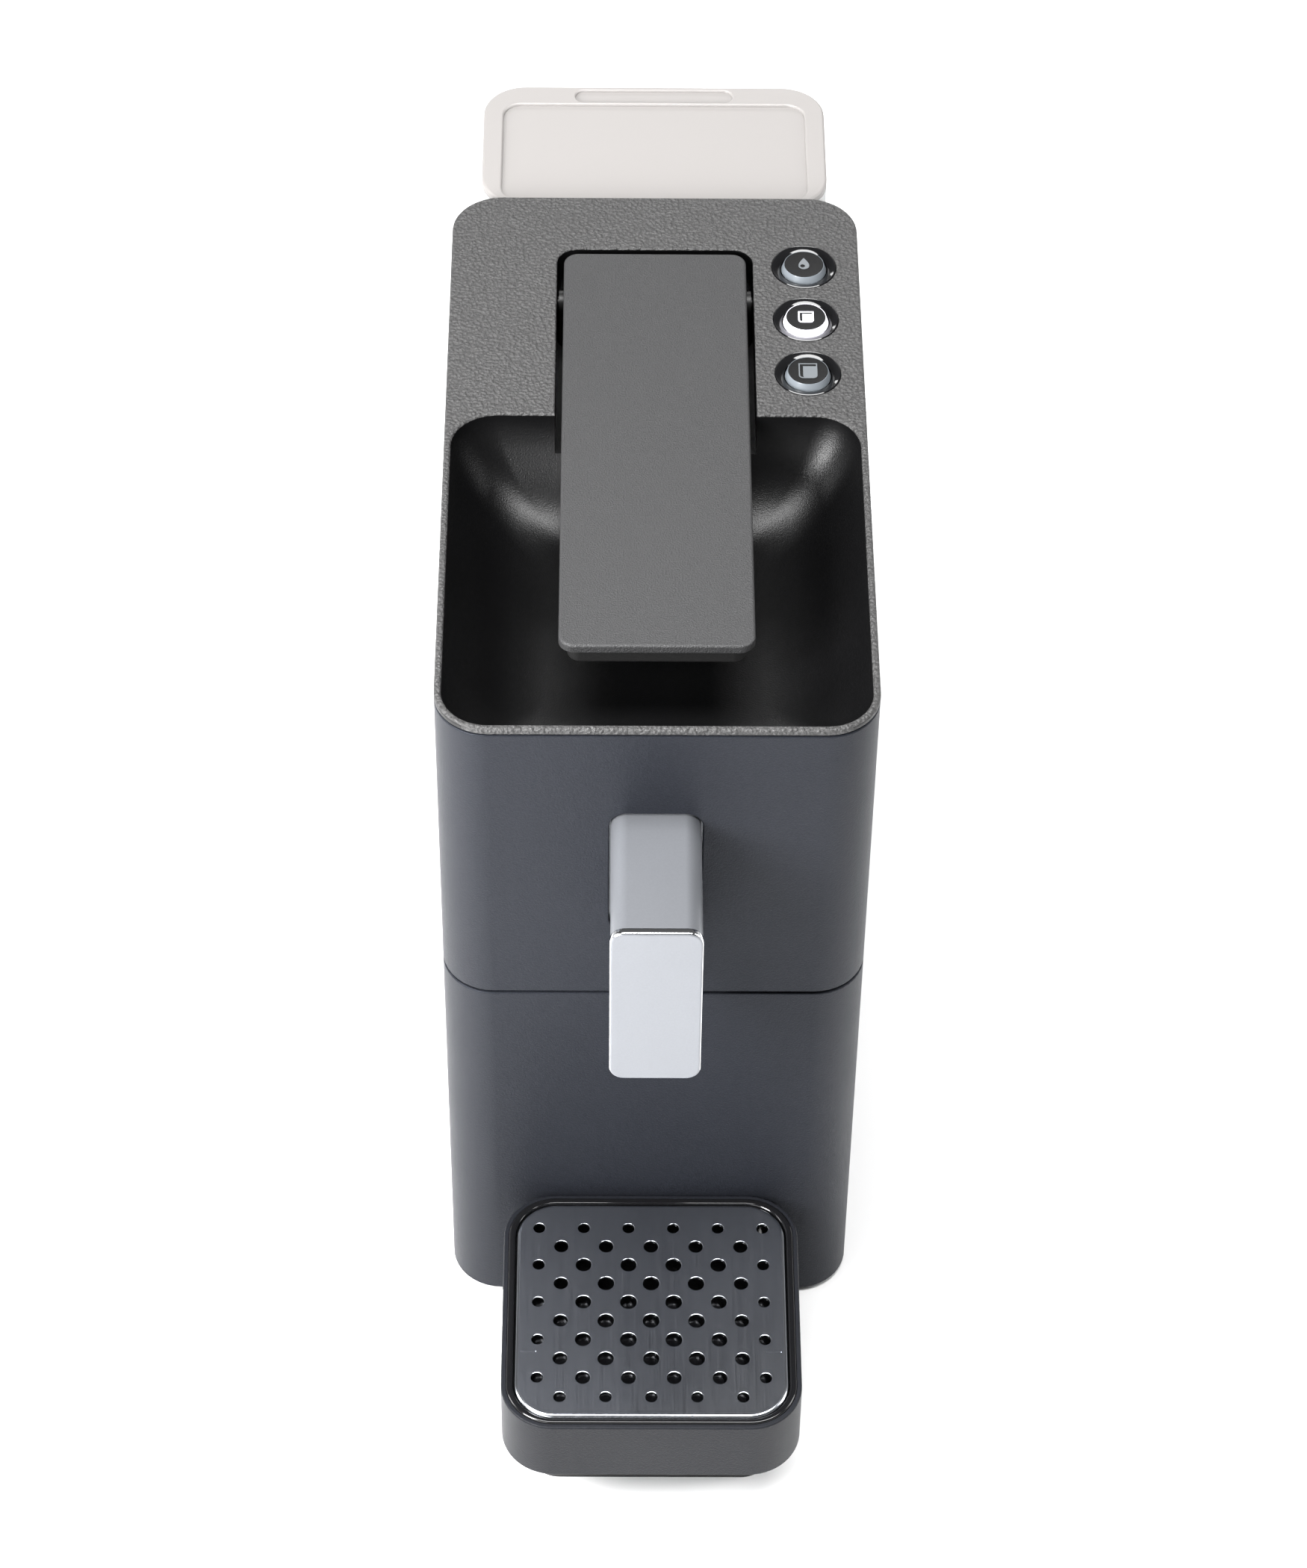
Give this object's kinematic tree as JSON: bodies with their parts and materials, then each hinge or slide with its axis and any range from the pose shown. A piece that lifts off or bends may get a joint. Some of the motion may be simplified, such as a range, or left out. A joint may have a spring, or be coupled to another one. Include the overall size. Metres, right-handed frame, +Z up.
{
  "type": "pod coffee machine",
  "caption": "Narrow pod coffee machine with a top lever in a scooped deck, three buttons, a front spout, a perforated drip tray and a lift-off rear water tank.",
  "frame": {"origin": "centre of the overall bounding box in plan, on the surface that the machine stands on", "axes": "+Z up, -Y towards the spout and drip tray, +X to the machine's right as seen from the front"},
  "size_m": [0.13, 0.392, 0.2702],
  "materials": {
    "casing_plastic": "fine moulded grain",
    "deck_plastic": "leather-like moulded grain",
    "lever_plastic": "fine moulded grain",
    "lever_underside": "smooth",
    "gloss_black": "polished",
    "satin_silver": "satin",
    "perforated_steel": "polished, brushed edges",
    "frosted_clear": "frosted",
    "light_ring": "translucent",
    "light_ring_lit": "translucent, lit",
    "button_cap": "satin",
    "rubber": "matt",
    "inner_nylon": "natural",
    "inner_black": "natural",
    "steel": "plated",
    "cast_alloy": "as cast",
    "copper_coil": "varnished",
    "board_green": "lacquered",
    "hose_silicone": "translucent"
  },
  "bodies": {
    "machine": {"upper_shell": "casing_plastic", "lower_housing": "casing_plastic", "tank_dock": "casing_plastic", "base_plate": "inner_black", "rubber_feet": "rubber", "housing_screws": "steel", "chassis_plate": "inner_nylon", "top_cover": "deck_plastic", "hinge_pin": "steel", "brew_cheek_left": "steel", "brew_cheek_right": "steel", "brew_head": "inner_nylon", "head_seal": "rubber", "piercing_needles": "steel", "pod_chute": "inner_nylon", "coffee_trough": "inner_nylon", "brew_screws": "steel", "thermoblock": "cast_alloy", "pump_body": "inner_nylon", "pump_coil": "copper_coil", "pump_mounts": "rubber", "flow_meter": "inner_nylon", "control_board": "board_green", "power_board": "board_green", "spout_arm": "satin_silver", "spout_cap": "satin_silver", "spout_nozzle": "inner_black", "drawer_rails": "inner_nylon", "dock_seal": "rubber", "cord_gland": "inner_black", "hose_tank_to_meter": "hose_silicone", "hose_meter_to_pump": "hose_silicone", "hose_pump_to_heater": "hose_silicone", "hose_heater_to_head": "hose_silicone", "bezel_rinse": "gloss_black", "bezel_small_cup": "gloss_black", "bezel_large_cup": "gloss_black"},
    "lever": {"lever_cover": "lever_plastic", "lever_frame": "lever_underside", "crank_pin": "steel"},
    "jaw": {"brew_jaw": "inner_nylon", "pull_rods": "steel"},
    "button_rinse": {"cap_rinse": "button_cap", "light_ring_rinse": "light_ring"},
    "button_small_cup": {"cap_small_cup": "button_cap", "light_ring_small_cup": "light_ring_lit"},
    "button_large_cup": {"cap_large_cup": "button_cap", "light_ring_large_cup": "light_ring"},
    "drawer": {"drawer_front": "casing_plastic", "drawer_floor": "inner_black", "pod_bin": "inner_black", "tray_stand": "inner_black"},
    "tray": {"tray_shell": "casing_plastic", "tray_pan": "gloss_black"},
    "grid": {"drip_grid": "perforated_steel"},
    "tank": {"water_tank": "frosted_clear", "lid_hinge_pins": "steel", "tank_valve": "inner_nylon"},
    "lid": {"tank_lid": "frosted_clear"}
  },
  "joints": [
    {"name": "lever_hinge", "type": "hinge", "parent": "machine", "child": "lever", "pos_m": [0, 0.0904, 0.2615], "axis": [-1, 0, 0], "range_deg": [0, 75]},
    {"name": "jaw_slide", "type": "slide", "parent": "machine", "child": "jaw", "axis": [0, -1, 0], "range_m": [0, 0.027]},
    {"name": "press_rinse", "type": "slide", "parent": "machine", "child": "button_rinse", "axis": [0, 0, -1], "range_m": [0, 0.0015], "stiffness_N_per_m": 500, "springref_m": -0.001},
    {"name": "press_small_cup", "type": "slide", "parent": "machine", "child": "button_small_cup", "axis": [0, 0, -1], "range_m": [0, 0.0015], "stiffness_N_per_m": 500, "springref_m": -0.001},
    {"name": "press_large_cup", "type": "slide", "parent": "machine", "child": "button_large_cup", "axis": [0, 0, -1], "range_m": [0, 0.0015], "stiffness_N_per_m": 500, "springref_m": -0.001},
    {"name": "drawer_slide", "type": "slide", "parent": "machine", "child": "drawer", "axis": [0, -1, 0], "range_m": [0, 0.13]},
    {"name": "tray_lift", "type": "slide", "parent": "drawer", "child": "tray", "axis": [0, 0, 1], "range_m": [0, 0.06]},
    {"name": "grid_lift", "type": "slide", "parent": "tray", "child": "grid", "axis": [0, 0, 1], "range_m": [0, 0.04]},
    {"name": "tank_lift", "type": "slide", "parent": "machine", "child": "tank", "axis": [0, 0, 1], "range_m": [0, 0.15]},
    {"name": "lid_hinge", "type": "hinge", "parent": "tank", "child": "lid", "pos_m": [0, 0.1363, 0.2639], "axis": [1, 0, 0], "range_deg": [0, 80]}
  ],
  "couplings": [
    {"joint": "jaw_slide", "follows": "lever_hinge", "m_per_rad": 0.020463}
  ]
}
